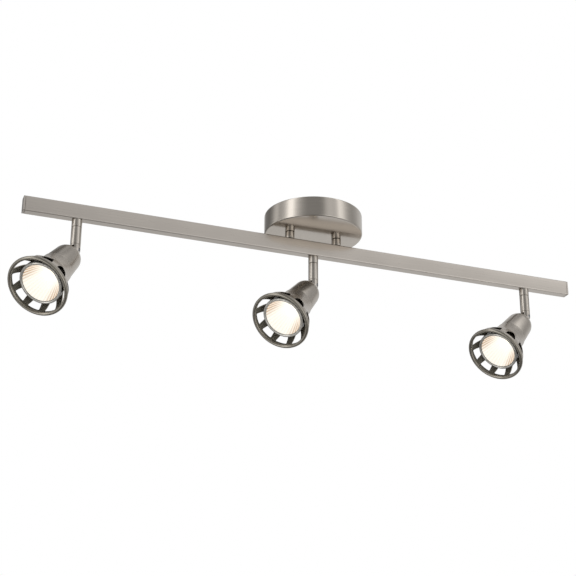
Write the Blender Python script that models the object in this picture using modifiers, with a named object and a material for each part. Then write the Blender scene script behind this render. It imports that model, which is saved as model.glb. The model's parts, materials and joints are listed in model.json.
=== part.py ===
"""Three-head ceiling bar light.

Frame: +X along the bar, +Y to the back, +Z up. The origin is the middle of the canopy on the ceiling
plane, so the whole fixture hangs below z = 0. Every length is in metres.

Each head hangs from its own stem. The stem turns about its vertical axis (pan), and the head turns about
a pin through the knuckle at the stem's lower end (tilt). A head is drawn in its own frame, pointing
straight down, with its origin on the pin. Its empties turn it to where it is aimed.
"""
import math

import bmesh
import bpy
from mathutils import Matrix, Vector

MM = 0.001

# Clearances
GAP = 0.3 * MM                 # between pieces that touch
HOLE_PLAY = 0.6 * MM           # a hole's diameter over the diameter of what goes through it

# Canopy
CANOPY_RADIUS = 60 * MM
CANOPY_HEIGHT = 25 * MM
CANOPY_WALL = 1.0 * MM
CANOPY_EDGE_RADIUS = 2.0 * MM

# Mounting crossbar inside the canopy
STRAP_WIDTH = 20 * MM
STRAP_THICKNESS = 1.5 * MM
STRAP_TAB_DEPTH = 12 * MM
STRAP_WIRE_HOLE = 12 * MM
STRAP_SLOT_LENGTH = 10 * MM
STRAP_SLOT_WIDTH = 5 * MM
STRAP_SLOT_SPACING = 70 * MM
SET_SCREW_DIAMETER = 4 * MM
SET_SCREW_LENGTH = 7 * MM
SET_SCREW_DROP = 8 * MM
GROUND_SCREW_DIAMETER = 4 * MM
GROUND_SCREW_HEAD = 7 * MM
GROUND_SCREW_HEAD_HEIGHT = 2.4 * MM
GROUND_SCREW_X = 16 * MM
GROUND_SCREW_Y = -6 * MM

# Wiring inside the canopy
LEAD_RADIUS = 1.0 * MM
CONNECTOR_RADIUS = 4.5 * MM
CONNECTOR_LENGTH = 15 * MM
CONNECTOR_Y = 24 * MM

# Stems between canopy and bar
STEM_SPACING = 61 * MM
STEM_SLEEVE_DIAMETER = 11.6 * MM
STEM_SLEEVE_LENGTH = 9 * MM
NIPPLE_DIAMETER = 6 * MM
NIPPLE_BORE = 3.6 * MM
NIPPLE_PROUD = 7 * MM          # how far a nipple stands past the wall it clamps
NUT_ACROSS_FLATS = 8 * MM      # a spindle's nut turns inside the bar, so its corners clear the walls
NUT_HEIGHT = 3 * MM

# Bar
BAR_LENGTH = 708 * MM
BAR_HEIGHT = 18.5 * MM
BAR_DEPTH = 12 * MM
BAR_WALL = 1.0 * MM
BAR_CORNER_RADIUS = 1.6 * MM
CAP_THICKNESS = 2 * MM
CAP_PLUG_LENGTH = 8 * MM

# Head stems
HEAD_SPACING = 291 * MM
COLLAR_HEIGHT = 9.5 * MM
HEAD_TUBE_DIAMETER = 12 * MM
HEAD_TUBE_WALL = 1.5 * MM
SPINDLE_PLUG_LENGTH = 8 * MM
PIVOT_DROP = 38 * MM           # from the bar's underside to the tilt pin

# Knuckle, pin and arm
KNUCKLE_SHOULDER = 6.5 * MM    # from the pin up to the lower end of the tube
KNUCKLE_SPIGOT = 8 * MM
ARM_THICKNESS = 4 * MM
ARM_WIDTH = 9 * MM
ARM_BASE_RADIUS = 7.2 * MM
ARM_BASE_HEIGHT = 2 * MM
PIN_DIAMETER = 3 * MM

# Housing, along the head's axis from the pin
HOUSING_REAR = 9.5 * MM
HOUSING_FRONT = 47 * MM
HOUSING_DOME_LENGTH = 13.5 * MM
HOUSING_REAR_RADIUS = 16.4 * MM
HOUSING_FRONT_RADIUS = 18.4 * MM
HOUSING_WALL = 1.0 * MM

# Slotted front shade
SHADE_SPIGOT_LENGTH = 6 * MM
SHADE_FLARE_END = 88 * MM
SHADE_NECK_STEP = 0.6 * MM     # how far the neck stands proud of the housing
SHADE_OVERHANG = 8.9 * MM      # from the lamp's edge out to the bell's front
# The bell's outline: (share of its length, share of its flare)
SHADE_OUTLINE = ((0.0, 0.0), (0.17, 0.05), (0.31, 0.12), (0.46, 0.24), (0.56, 0.40), (0.70, 0.66),
                 (0.85, 0.87), (1.0, 1.0))
SHADE_WALL = 1.0 * MM
BEAD_RADIUS = 2.0 * MM         # rolled edge at the bell's front
WINDOW_COUNT = 10
WINDOW_REAR = 67 * MM
WINDOW_FRONT = 87 * MM
STRUT_REAR_WIDTH = 11.6 * MM
STRUT_FRONT_WIDTH = 7.0 * MM

# Lamp (50 mm reflector lamp), its ring and its holder
LAMP_RADIUS = 25 * MM
LAMP_FRONT = 83.2 * MM
LAMP_BOWL_DEPTH = 31 * MM
LAMP_NECK_RADIUS = 10 * MM
LAMP_NECK_LENGTH = 9.5 * MM
LAMP_GLASS = 1.5 * MM
LENS_THICKNESS = 1.2 * MM
RING_WALL = 0.9 * MM
RING_DEPTH = 5 * MM
RING_LIP = 3 * MM
CONTACT_PIN_SPACING = 10 * MM
CONTACT_PIN_DIAMETER = 4.7 * MM
CONTACT_PIN_LENGTH = 7 * MM
HOLDER_RADIUS = 11.5 * MM
HOLDER_LENGTH = 13.5 * MM
HOLDER_FLANGE_THICKNESS = 2 * MM

# Where each head is aimed: (name, side of the bar, pan in degrees from the front towards -X,
# tilt in degrees from straight down, first strut's angle from the head's +X in degrees)
HEADS = (
    ("left", -1, 46.6, 43.2, 2.5),
    ("middle", 0, 57.2, 45.0, 31.0),
    ("right", 1, 68.3, 44.6, 27.5),
)

# Fineness of round pieces
ROUND_CANOPY = 48
ROUND_LARGE = 30
ROUND_MEDIUM = 24
ROUND_SMALL = 16

# Heights that follow from the sizes above
CANOPY_FLOOR = -CANOPY_HEIGHT + CANOPY_WALL
BAR_TOP = -CANOPY_HEIGHT - STEM_SLEEVE_LENGTH
BAR_BOTTOM = BAR_TOP - BAR_HEIGHT
COLLAR_BOTTOM = BAR_BOTTOM - COLLAR_HEIGHT
PIVOT_Z = BAR_BOTTOM - PIVOT_DROP
TUBE_INNER_RADIUS = HEAD_TUBE_DIAMETER / 2 - HEAD_TUBE_WALL
SPIGOT_RADIUS = TUBE_INNER_RADIUS - GAP
SHADE_REAR = HOUSING_FRONT + GAP
SHADE_NECK_RADIUS = HOUSING_FRONT_RADIUS + SHADE_NECK_STEP
SHADE_RIM_RADIUS = LAMP_RADIUS + SHADE_OVERHANG
SHADE_FLARE = SHADE_RIM_RADIUS - SHADE_NECK_RADIUS     # how far the bell widens from its neck
RING_OPENING_RADIUS = LAMP_RADIUS - RING_LIP


# ---------------------------------------------------------------- helpers

def start_clean():
    for old in list(bpy.data.objects):
        bpy.data.objects.remove(old, do_unlink=True)


def new_collection(name):
    made = bpy.data.collections.new(name)
    bpy.context.scene.collection.children.link(made)
    return made


def make_material(name, colour, roughness, metallic):
    material = bpy.data.materials.new(name)
    material.use_nodes = True
    shader = material.node_tree.nodes["Principled BSDF"]
    shader.inputs["Base Color"].default_value = (*colour, 1.0)
    shader.inputs["Roughness"].default_value = roughness
    shader.inputs["Metallic"].default_value = metallic
    return material


FINISHES = {
    "nickel": ((0.42, 0.39, 0.36), 0.30, 1.0),
    "chrome": ((0.55, 0.54, 0.52), 0.08, 1.0),
    "steel": ((0.50, 0.50, 0.50), 0.35, 1.0),
    "brass": ((0.70, 0.52, 0.25), 0.30, 1.0),
    "ceramic": ((0.85, 0.83, 0.78), 0.45, 0.0),
    "glass": ((0.95, 0.90, 0.80), 0.10, 0.0),
    "reflector": ((0.80, 0.76, 0.68), 0.15, 0.6),
    "black_plastic": ((0.03, 0.03, 0.03), 0.50, 0.0),
    "orange_plastic": ((0.80, 0.30, 0.05), 0.45, 0.0),
    "green": ((0.05, 0.35, 0.12), 0.40, 0.3),
}


def finish(obj, name, look, parent=None):
    """Name a finished piece, give it its own material, file it and hang it on its parent."""
    obj.name = name
    obj.data.name = name
    colour, roughness, metallic = FINISHES[look]
    obj.data.materials.clear()
    obj.data.materials.append(make_material(name, colour, roughness, metallic))
    for home in list(obj.users_collection):
        home.objects.unlink(obj)
    PARTS.objects.link(obj)
    obj.parent = parent
    return obj


def as_cutter(obj, parent=None):
    obj.name = "cutter_" + obj.name
    obj.display_type = "WIRE"
    obj.hide_render = True
    for home in list(obj.users_collection):
        home.objects.unlink(obj)
    CUTTERS.objects.link(obj)
    obj.parent = parent
    return obj


def boolean(obj, other, operation):
    modifier = obj.modifiers.new(operation.title(), "BOOLEAN")
    modifier.operation = operation
    modifier.solver = "EXACT"
    modifier.object = other
    return modifier


def shade_round(mesh, degrees=35.0):
    mesh.shade_smooth()
    mesh.set_sharp_from_angle(angle=math.radians(degrees))


def turned(name, profile, steps, closed=True):
    """Turn a profile of (radius, height) points about Z.

    The profile runs down its outer side and back up its inner side. A closed profile is a ring section;
    an open one starts and ends on the axis.
    """
    mesh = bpy.data.meshes.new(name)
    points = [(radius, 0.0, height) for radius, height in profile]
    edges = [(i, i + 1) for i in range(len(points) - 1)]
    if closed:
        edges.append((len(points) - 1, 0))
    mesh.from_pydata(points, edges, [])
    obj = bpy.data.objects.new(name, mesh)
    bpy.context.scene.collection.objects.link(obj)
    screw = obj.modifiers.new("Turn", "SCREW")
    screw.axis = "Z"
    screw.steps = steps
    screw.render_steps = steps
    screw.use_merge_vertices = True
    screw.merge_threshold = 0.00001
    screw.use_smooth_shade = True
    return obj


def box(name, low, high):
    """A box between two corners, its place in its mesh."""
    bpy.ops.mesh.primitive_cube_add(size=1.0)
    obj = bpy.context.active_object
    obj.name = name
    low, high = Vector(low), Vector(high)
    size = high - low
    obj.data.transform(Matrix.Translation((low + high) / 2) @ Matrix.Diagonal((*size, 1.0)))
    return obj


def rod(name, start, end, radius, vertices=ROUND_SMALL):
    """A solid cylinder from one point to another, its place in its mesh."""
    start, end = Vector(start), Vector(end)
    bpy.ops.mesh.primitive_cylinder_add(vertices=vertices, radius=radius, depth=(end - start).length)
    obj = bpy.context.active_object
    obj.name = name
    turn = (end - start).to_track_quat("Z", "Y").to_matrix().to_4x4()
    obj.data.transform(Matrix.Translation((start + end) / 2) @ turn)
    if vertices > 6:
        shade_round(obj.data)
    return obj


def cut_with(obj, cutters, parent=None):
    for cutter in cutters:
        boolean(obj, as_cutter(cutter, parent), "DIFFERENCE")
    return obj


def empty(name, location, rotation, parent=None):
    made = bpy.data.objects.new(name, None)
    bpy.context.scene.collection.objects.link(made)
    made.empty_display_size = 0.02
    made.location = location
    made.rotation_euler = rotation
    made.parent = parent
    return made


def arc(centre, radius, first, last, count):
    """Points on a round corner in a profile, from one angle to another in degrees."""
    points = []
    for i in range(count + 1):
        angle = math.radians(first + (last - first) * i / count)
        points.append((centre[0] + radius * math.cos(angle), centre[1] + radius * math.sin(angle)))
    return points


def hex_nut(name, centre_x, top, parent=None):
    """A plain hexagon nut on a vertical nipple, bored with the usual play."""
    corner_radius = NUT_ACROSS_FLATS / 2 / math.cos(math.radians(30))
    nut = rod(name, (centre_x, 0, top - NUT_HEIGHT), (centre_x, 0, top), corner_radius, vertices=6)
    nut.data.transform(Matrix.Translation((centre_x, 0, 0)) @ Matrix.Rotation(math.radians(30), 4, "Z")
                       @ Matrix.Translation((-centre_x, 0, 0)))
    bore = rod(name + "_bore", (centre_x, 0, top - NUT_HEIGHT - MM), (centre_x, 0, top + MM),
               (NIPPLE_DIAMETER + HOLE_PLAY) / 2)
    cut_with(nut, [bore], parent)
    return finish(nut, name, "steel", parent)


# ---------------------------------------------------------------- canopy and what is inside it

def stem_places():
    return (("left", -STEM_SPACING / 2), ("right", STEM_SPACING / 2))


def make_canopy():
    corner = (CANOPY_RADIUS - CANOPY_EDGE_RADIUS, -CANOPY_HEIGHT + CANOPY_EDGE_RADIUS)
    inner_radius = CANOPY_RADIUS - CANOPY_WALL
    inner_corner = arc(corner, CANOPY_EDGE_RADIUS - CANOPY_WALL, -90, 0, 2)
    outer_corner = arc(corner, CANOPY_EDGE_RADIUS, 0, -90, 3)
    profile = [(0.0, CANOPY_FLOOR), *inner_corner, (inner_radius, 0.0), (CANOPY_RADIUS, 0.0),
               *outer_corner, (0.0, -CANOPY_HEIGHT)]
    canopy = turned("canopy", profile, ROUND_CANOPY, closed=False)
    hole_radius = (NIPPLE_DIAMETER + HOLE_PLAY) / 2
    cutters = []
    for side, x in stem_places():
        cutters.append(rod("canopy_hole_" + side, (x, 0, -CANOPY_HEIGHT - MM),
                           (x, 0, CANOPY_FLOOR + MM), hole_radius))
        outward = math.copysign(1.0, x)
        cutters.append(rod("canopy_side_hole_" + side,
                           (outward * (inner_radius - 2 * MM), 0, -SET_SCREW_DROP),
                           (outward * (CANOPY_RADIUS + MM), 0, -SET_SCREW_DROP),
                           (SET_SCREW_DIAMETER + HOLE_PLAY) / 2))
    cut_with(canopy, cutters)
    finish(canopy, "canopy", "nickel")


def make_crossbar():
    """A steel strap across the canopy with a tab turned down at each end, taking the set screws."""
    room = CANOPY_RADIUS - CANOPY_WALL - GAP
    half_length = math.sqrt(room ** 2 - (STRAP_WIDTH / 2) ** 2)
    half_width = STRAP_WIDTH / 2
    strap = box("mounting_crossbar", (-half_length, -half_width, -STRAP_THICKNESS),
                (half_length, half_width, 0.0))
    for side, outward in (("left", -1), ("right", 1)):
        ends = sorted((outward * half_length, outward * (half_length - STRAP_THICKNESS)))
        tab = box("crossbar_tab_" + side, (ends[0], -half_width, -STRAP_TAB_DEPTH),
                  (ends[1], half_width, -STRAP_THICKNESS / 2))
        boolean(strap, as_cutter(tab), "UNION")
    cutters = [rod("crossbar_wire_hole", (0, 0, -STRAP_THICKNESS - MM), (0, 0, MM), STRAP_WIRE_HOLE / 2)]
    for side, outward in (("left", -1), ("right", 1)):
        middle = outward * STRAP_SLOT_SPACING / 2
        cutters.append(box("crossbar_slot_" + side,
                           (middle - STRAP_SLOT_LENGTH / 2, -STRAP_SLOT_WIDTH / 2, -STRAP_THICKNESS - MM),
                           (middle + STRAP_SLOT_LENGTH / 2, STRAP_SLOT_WIDTH / 2, MM)))
        cutters.append(rod("crossbar_tab_hole_" + side,
                           (outward * (half_length - STRAP_THICKNESS - MM), 0, -SET_SCREW_DROP),
                           (outward * (half_length + MM), 0, -SET_SCREW_DROP),
                           (SET_SCREW_DIAMETER + HOLE_PLAY) / 2))
    cutters.append(rod("crossbar_ground_hole", (GROUND_SCREW_X, GROUND_SCREW_Y, -STRAP_THICKNESS - MM),
                       (GROUND_SCREW_X, GROUND_SCREW_Y, MM), (GROUND_SCREW_DIAMETER + HOLE_PLAY) / 2))
    cut_with(strap, cutters)
    finish(strap, "mounting_crossbar", "steel")


def make_canopy_screws():
    for side, outward in (("left", -1), ("right", 1)):
        outer_end = outward * (CANOPY_RADIUS - GAP)
        screw = rod("canopy_screw_" + side, (outer_end - outward * SET_SCREW_LENGTH, 0, -SET_SCREW_DROP),
                    (outer_end, 0, -SET_SCREW_DROP), SET_SCREW_DIAMETER / 2)
        socket = rod("canopy_screw_socket_" + side, (outer_end - outward * 1.5 * MM, 0, -SET_SCREW_DROP),
                     (outer_end + outward * MM, 0, -SET_SCREW_DROP), MM, vertices=6)
        cut_with(screw, [socket])
        finish(screw, "canopy_screw_" + side, "steel")


def make_ground_screw():
    head_top = -STRAP_THICKNESS - GAP
    profile = [(0.0, -GAP), (GROUND_SCREW_DIAMETER / 2, -GAP), (GROUND_SCREW_DIAMETER / 2, head_top),
               (GROUND_SCREW_HEAD / 2, head_top),
               (GROUND_SCREW_HEAD / 2, head_top - GROUND_SCREW_HEAD_HEIGHT),
               (0.0, head_top - GROUND_SCREW_HEAD_HEIGHT)]
    screw = turned("ground_screw", profile, ROUND_SMALL, closed=False)
    slot_low = (-GROUND_SCREW_HEAD, -0.5 * MM, head_top - GROUND_SCREW_HEAD_HEIGHT - MM)
    slot_high = (GROUND_SCREW_HEAD, 0.5 * MM, head_top - GROUND_SCREW_HEAD_HEIGHT + 0.8 * MM)
    slot = box("ground_screw_slot", slot_low, slot_high)
    cut_with(screw, [slot])
    place = (GROUND_SCREW_X, GROUND_SCREW_Y, 0.0)
    screw.location = place
    slot.location = place
    finish(screw, "ground_screw", "green")


def lead(name, points, look):
    """A wire through the given points, as a bevelled curve with filled ends."""
    curve = bpy.data.curves.new(name, "CURVE")
    curve.dimensions = "3D"
    curve.bevel_depth = LEAD_RADIUS
    curve.bevel_resolution = 1
    curve.use_fill_caps = True
    curve.resolution_u = 5
    curve.render_resolution_u = 5
    spline = curve.splines.new("BEZIER")
    spline.bezier_points.add(len(points) - 1)
    for knot, point in zip(spline.bezier_points, points):
        knot.co = point
        knot.handle_left_type = "AUTO"
        knot.handle_right_type = "AUTO"
    obj = bpy.data.objects.new(name, curve)
    bpy.context.scene.collection.objects.link(obj)
    return finish(obj, name, look)


def make_canopy_wiring():
    """Two twist-on connectors behind the crossbar, each with the lead that comes up its nipple."""
    height = CANOPY_FLOOR + CONNECTOR_RADIUS + MM
    for circuit, look, side in (("line", "black_plastic", -1), ("neutral", "ceramic", 1)):
        start = Vector((side * 20 * MM, CONNECTOR_Y, height))
        end = start + Vector((-side * 15 * MM, 6 * MM, 0)).normalized() * CONNECTOR_LENGTH
        profile = [(0.0, 0.0), (CONNECTOR_RADIUS * 0.55, 0.0), (CONNECTOR_RADIUS * 0.8, -6 * MM),
                   (CONNECTOR_RADIUS, -CONNECTOR_LENGTH), (0.0, -CONNECTOR_LENGTH)]
        connector = turned("wire_connector_" + circuit, profile, ROUND_SMALL, closed=False)
        connector.rotation_mode = "QUATERNION"
        connector.rotation_quaternion = (end - start).to_track_quat("Z", "Y")
        connector.location = end
        finish(connector, "wire_connector_" + circuit, "orange_plastic")
        nipple_top = CANOPY_FLOOR + NIPPLE_PROUD
        rise = Vector((side * STEM_SPACING / 2, 0, nipple_top + GAP + LEAD_RADIUS))
        back = (start - end).normalized()
        lead("lead_" + circuit,
             [rise, rise + Vector((-side * 2 * MM, 7 * MM, 2.0 * MM)),
              start + back * 9 * MM + Vector((0, -2 * MM, 3 * MM)),
              start + back * (GAP + 0.1 * MM)], look)


# ---------------------------------------------------------------- stems and bar

def make_canopy_stems():
    nipple_radius = NIPPLE_DIAMETER / 2
    bore_radius = NIPPLE_BORE / 2
    hole_radius = nipple_radius + HOLE_PLAY / 2
    sleeve_radius = STEM_SLEEVE_DIAMETER / 2
    top = CANOPY_FLOOR + NIPPLE_PROUD
    bottom = BAR_TOP - BAR_WALL - NIPPLE_PROUD
    for side, x in stem_places():
        nipple = turned("stem_nipple_" + side, [(nipple_radius, top), (nipple_radius, bottom),
                                               (bore_radius, bottom), (bore_radius, top)], ROUND_SMALL)
        nipple.location.x = x
        finish(nipple, "stem_nipple_" + side, "steel")
        sleeve_top = -CANOPY_HEIGHT - GAP
        sleeve_bottom = BAR_TOP + GAP
        sleeve = turned("canopy_stem_" + side, [(sleeve_radius, sleeve_top), (sleeve_radius, sleeve_bottom),
                                               (hole_radius, sleeve_bottom), (hole_radius, sleeve_top)],
                        ROUND_MEDIUM)
        sleeve.location.x = x
        finish(sleeve, "canopy_stem_" + side, "nickel")
        hex_nut("canopy_nut_" + side, x, CANOPY_FLOOR + GAP + NUT_HEIGHT)
        hex_nut("bar_nut_" + side, x, BAR_TOP - BAR_WALL - GAP)


def rounded_rectangle(name, depth, height, radius, half_length):
    """A bar of rounded rectangular section along X, centred on the origin."""
    bar = box(name, (-half_length, -depth / 2, -height / 2), (half_length, depth / 2, height / 2))
    if radius > 0:
        mesh = bmesh.new()
        mesh.from_mesh(bar.data)
        long_edges = [edge for edge in mesh.edges
                      if abs(edge.verts[0].co.x - edge.verts[1].co.x) > half_length]
        bmesh.ops.bevel(mesh, geom=long_edges, offset=radius, segments=3, profile=0.5, affect="EDGES")
        mesh.to_mesh(bar.data)
        mesh.free()
    return bar


def head_places():
    return [(name, side * HEAD_SPACING, pan, tilt, phase) for name, side, pan, tilt, phase in HEADS]


def make_bar():
    """A channel open downwards, bored on top for the nipples."""
    middle_z = BAR_TOP - BAR_HEIGHT / 2
    half_length = BAR_LENGTH / 2 - CAP_THICKNESS - GAP
    bar = rounded_rectangle("bar_channel", BAR_DEPTH, BAR_HEIGHT, BAR_CORNER_RADIUS, half_length)
    bar.location.z = middle_z
    inner_half_depth = BAR_DEPTH / 2 - BAR_WALL
    hollow = box("bar_hollow", (-half_length - MM, -inner_half_depth, BAR_BOTTOM - MM),
                 (half_length + MM, inner_half_depth, BAR_TOP - BAR_WALL))
    cutters = [hollow]
    for side, x in stem_places():
        cutters.append(rod("bar_top_hole_" + side, (x, 0, BAR_TOP - BAR_WALL - MM), (x, 0, BAR_TOP + MM),
                           (NIPPLE_DIAMETER + HOLE_PLAY) / 2))
    cut_with(bar, cutters)
    finish(bar, "bar_channel", "nickel")


def make_bar_cover():
    """The strip that closes the channel from below, bored for the three spindles."""
    half_length = BAR_LENGTH / 2 - CAP_THICKNESS - GAP
    half_depth = BAR_DEPTH / 2 - BAR_WALL - GAP
    cover = box("bar_cover", (-half_length, -half_depth, BAR_BOTTOM),
                (half_length, half_depth, BAR_BOTTOM + BAR_WALL))
    cutters = []
    for name, x, _, _, _ in head_places():
        cutters.append(rod("cover_hole_" + name, (x, 0, BAR_BOTTOM - MM),
                           (x, 0, BAR_BOTTOM + BAR_WALL + MM), (NIPPLE_DIAMETER + HOLE_PLAY) / 2))
    cut_with(cover, cutters)
    finish(cover, "bar_cover", "nickel")


def make_end_caps():
    """A plate over each end of the channel, with a plug that also rests on the cover."""
    middle_z = BAR_TOP - BAR_HEIGHT / 2
    half_depth = BAR_DEPTH / 2 - BAR_WALL - GAP
    plug_bottom = BAR_BOTTOM + BAR_WALL + GAP
    plug_top = BAR_TOP - BAR_WALL - GAP
    for side, outward in (("left", -1), ("right", 1)):
        outer = BAR_LENGTH / 2
        cap = rounded_rectangle("end_cap_" + side, BAR_DEPTH, BAR_HEIGHT, BAR_CORNER_RADIUS,
                                CAP_THICKNESS / 2)
        cap.location = (outward * (outer - CAP_THICKNESS / 2), 0, middle_z)
        ends = sorted((outward * (outer - CAP_THICKNESS - CAP_PLUG_LENGTH),
                       outward * (outer - CAP_THICKNESS / 2)))
        plug = box("end_cap_plug_" + side, (ends[0], -half_depth, plug_bottom),
                   (ends[1], half_depth, plug_top))
        boolean(cap, as_cutter(plug), "UNION")
        finish(cap, "end_cap_" + side, "nickel")


# ---------------------------------------------------------------- one head, from the bar down

def make_head_stem(name, x, stem):
    """Collar, spindle, nut, tube and knuckle. All but the collar turn with the stem's empty."""
    nipple_radius = NIPPLE_DIAMETER / 2
    bore_radius = NIPPLE_BORE / 2
    hole_radius = nipple_radius + HOLE_PLAY / 2
    tube_radius = HEAD_TUBE_DIAMETER / 2

    collar_top = BAR_BOTTOM - GAP
    collar = turned("swivel_collar_" + name, [(tube_radius, collar_top), (tube_radius, COLLAR_BOTTOM),
                                             (hole_radius, COLLAR_BOTTOM), (hole_radius, collar_top)],
                    ROUND_MEDIUM)
    collar.location.x = x
    finish(collar, "swivel_collar_" + name, "nickel")

    spindle_top = BAR_BOTTOM + BAR_WALL + NIPPLE_PROUD
    plug_top = COLLAR_BOTTOM - GAP
    plug_bottom = plug_top - SPINDLE_PLUG_LENGTH
    spindle = turned("swivel_spindle_" + name,
                     [(nipple_radius, spindle_top), (nipple_radius, plug_top), (SPIGOT_RADIUS, plug_top),
                      (SPIGOT_RADIUS, plug_bottom), (bore_radius, plug_bottom),
                      (bore_radius, spindle_top)], ROUND_SMALL)
    finish(spindle, "swivel_spindle_" + name, "steel", stem)

    hex_nut("spindle_nut_" + name, 0.0, BAR_BOTTOM + BAR_WALL + GAP + NUT_HEIGHT, stem)

    tube_bottom = PIVOT_Z + KNUCKLE_SHOULDER + GAP
    tube = turned("stem_tube_" + name, [(tube_radius, plug_top), (tube_radius, tube_bottom),
                                       (TUBE_INNER_RADIUS, tube_bottom), (TUBE_INNER_RADIUS, plug_top)],
                  ROUND_MEDIUM)
    finish(tube, "stem_tube_" + name, "nickel", stem)

    shoulder = PIVOT_Z + KNUCKLE_SHOULDER
    spigot_top = shoulder + KNUCKLE_SPIGOT
    tip_angle = math.degrees(math.acos(bore_radius / tube_radius))
    knuckle = turned("tilt_knuckle_" + name,
                     [(SPIGOT_RADIUS, spigot_top), (SPIGOT_RADIUS, shoulder), (tube_radius, shoulder),
                      *arc((0.0, PIVOT_Z), tube_radius, 0, -tip_angle, 5), (bore_radius, spigot_top)],
                     ROUND_MEDIUM)
    slot_half = ARM_THICKNESS / 2 + GAP
    slot = box("knuckle_slot_" + name, (-slot_half, -2 * tube_radius, PIVOT_Z - 2 * tube_radius),
               (slot_half, 2 * tube_radius, PIVOT_Z + ARM_WIDTH / 2 + GAP))
    pin_hole = rod("knuckle_pin_hole_" + name, (-2 * tube_radius, 0, PIVOT_Z),
                   (2 * tube_radius, 0, PIVOT_Z), (PIN_DIAMETER + HOLE_PLAY) / 2)
    cut_with(knuckle, [slot, pin_hole], stem)
    finish(knuckle, "tilt_knuckle_" + name, "nickel", stem)

    pin_half = tube_radius - 2 * GAP
    pin = rod("pivot_pin_" + name, (-pin_half, 0, PIVOT_Z), (pin_half, 0, PIVOT_Z), PIN_DIAMETER / 2)
    finish(pin, "pivot_pin_" + name, "steel", stem)


def dome_point(share, inset):
    """A point on the housing's rounded rear, at a share of its quarter ellipse, inset by a wall."""
    hole_radius = ARM_WIDTH / 2 + MM
    angle = math.radians(90 * share)
    radius = hole_radius + (HOUSING_REAR_RADIUS - inset - hole_radius) * math.sin(angle)
    along = HOUSING_REAR + HOUSING_DOME_LENGTH - (HOUSING_DOME_LENGTH - inset) * math.cos(angle)
    return radius, -along


def make_arm(name, head):
    """The flat arm between the knuckle's cheeks, on a round base inside the housing's rear."""
    base_top = -HOUSING_REAR - HOUSING_WALL - 2 * GAP
    base = rod("swivel_arm_" + name, (0, 0, base_top - ARM_BASE_HEIGHT), (0, 0, base_top), ARM_BASE_RADIUS,
               ROUND_MEDIUM)
    half = ARM_THICKNESS / 2
    tongue = box("arm_tongue_" + name, (-half, -ARM_WIDTH / 2, base_top - ARM_BASE_HEIGHT / 2),
                 (half, ARM_WIDTH / 2, 0.0))
    eye = rod("arm_eye_" + name, (-half, 0, 0), (half, 0, 0), ARM_WIDTH / 2, ROUND_MEDIUM)
    boolean(tongue, as_cutter(eye, head), "UNION")
    as_cutter(tongue, head)
    boolean(base, tongue, "UNION")
    hole = rod("arm_pin_hole_" + name, (-ARM_THICKNESS, 0, 0), (ARM_THICKNESS, 0, 0),
               (PIN_DIAMETER + HOLE_PLAY) / 2)
    cut_with(base, [hole], head)
    finish(base, "swivel_arm_" + name, "steel", head)


def make_housing(name, head):
    outer = [dome_point(i / 5, 0.0) for i in range(6)]
    inner = [dome_point(i / 4, HOUSING_WALL) for i in range(5)]
    profile = [*outer, (HOUSING_FRONT_RADIUS, -HOUSING_FRONT),
               (HOUSING_FRONT_RADIUS - HOUSING_WALL, -HOUSING_FRONT), *reversed(inner)]
    housing = turned("housing_" + name, profile, ROUND_LARGE)
    finish(housing, "housing_" + name, "nickel", head)


def flare_radius(along):
    """Outer radius of the bell at a distance from the pin, straight between the outline's points."""
    share = (along - SHADE_REAR) / (SHADE_FLARE_END - SHADE_REAR)
    for (start, low), (end, high) in zip(SHADE_OUTLINE, SHADE_OUTLINE[1:]):
        if share <= end:
            return SHADE_NECK_RADIUS + SHADE_FLARE * (low + (high - low) * (share - start) / (end - start))
    return SHADE_RIM_RADIUS


def make_shade(name, phase, head):
    """The bell: a spigot inside the housing, a flared wall, windows between struts, a rolled rim."""
    straight = HOUSING_FRONT - HOUSING_REAR - HOUSING_DOME_LENGTH
    taper = (HOUSING_FRONT_RADIUS - HOUSING_REAR_RADIUS) * SHADE_SPIGOT_LENGTH / straight
    spigot_radius = HOUSING_FRONT_RADIUS - HOUSING_WALL - GAP - taper
    spigot_rear = HOUSING_FRONT - SHADE_SPIGOT_LENGTH
    length = SHADE_FLARE_END - SHADE_REAR
    outer = [(SHADE_NECK_RADIUS + SHADE_FLARE * wide, -(SHADE_REAR + length * along))
             for along, wide in SHADE_OUTLINE]
    inner = [(radius - SHADE_WALL, height) for radius, height in outer[1:]]
    bead_centre = (SHADE_RIM_RADIUS - SHADE_WALL / 2 + 0.3 * MM, -SHADE_FLARE_END - BEAD_RADIUS - 2.5 * MM)
    bead = arc(bead_centre, BEAD_RADIUS, 70, -250, 8)
    profile = [(spigot_radius, -spigot_rear), (spigot_radius, -SHADE_REAR), *outer, *bead,
               *reversed(inner), (spigot_radius - SHADE_WALL, -SHADE_REAR),
               (spigot_radius - SHADE_WALL, -spigot_rear)]
    shade = turned("shade_" + name, profile, ROUND_LARGE)
    step = 360.0 / WINDOW_COUNT
    cutters = []
    for i in range(WINDOW_COUNT):
        cutters.append(window_cutter("window_%s_%d" % (name, i), phase + step * (i + 0.5)))
    cut_with(shade, cutters, head)
    finish(shade, "shade_" + name, "chrome", head)


def window_cutter(name, degrees):
    """A wedge through the wall, wider at the front, with its sides facing the head's axis."""
    near, far = SHADE_NECK_RADIUS - 2 * MM, SHADE_RIM_RADIUS + 3 * MM
    wedge = box(name, (near, -1.0, -1.0), (far, 1.0, 1.0))
    step = math.pi / WINDOW_COUNT
    ends = ((WINDOW_FRONT, STRUT_FRONT_WIDTH), (WINDOW_REAR, STRUT_REAR_WIDTH))
    for corner in wedge.data.vertices:
        along, strut = ends[0] if corner.co.z < 0 else ends[1]
        half_angle = step - strut / 2 / flare_radius(along)
        corner.co.y = math.copysign(corner.co.x * math.tan(half_angle), corner.co.y)
        corner.co.z = -along
    wedge.data.transform(Matrix.Rotation(math.radians(degrees), 4, "Z"))
    return wedge


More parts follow.
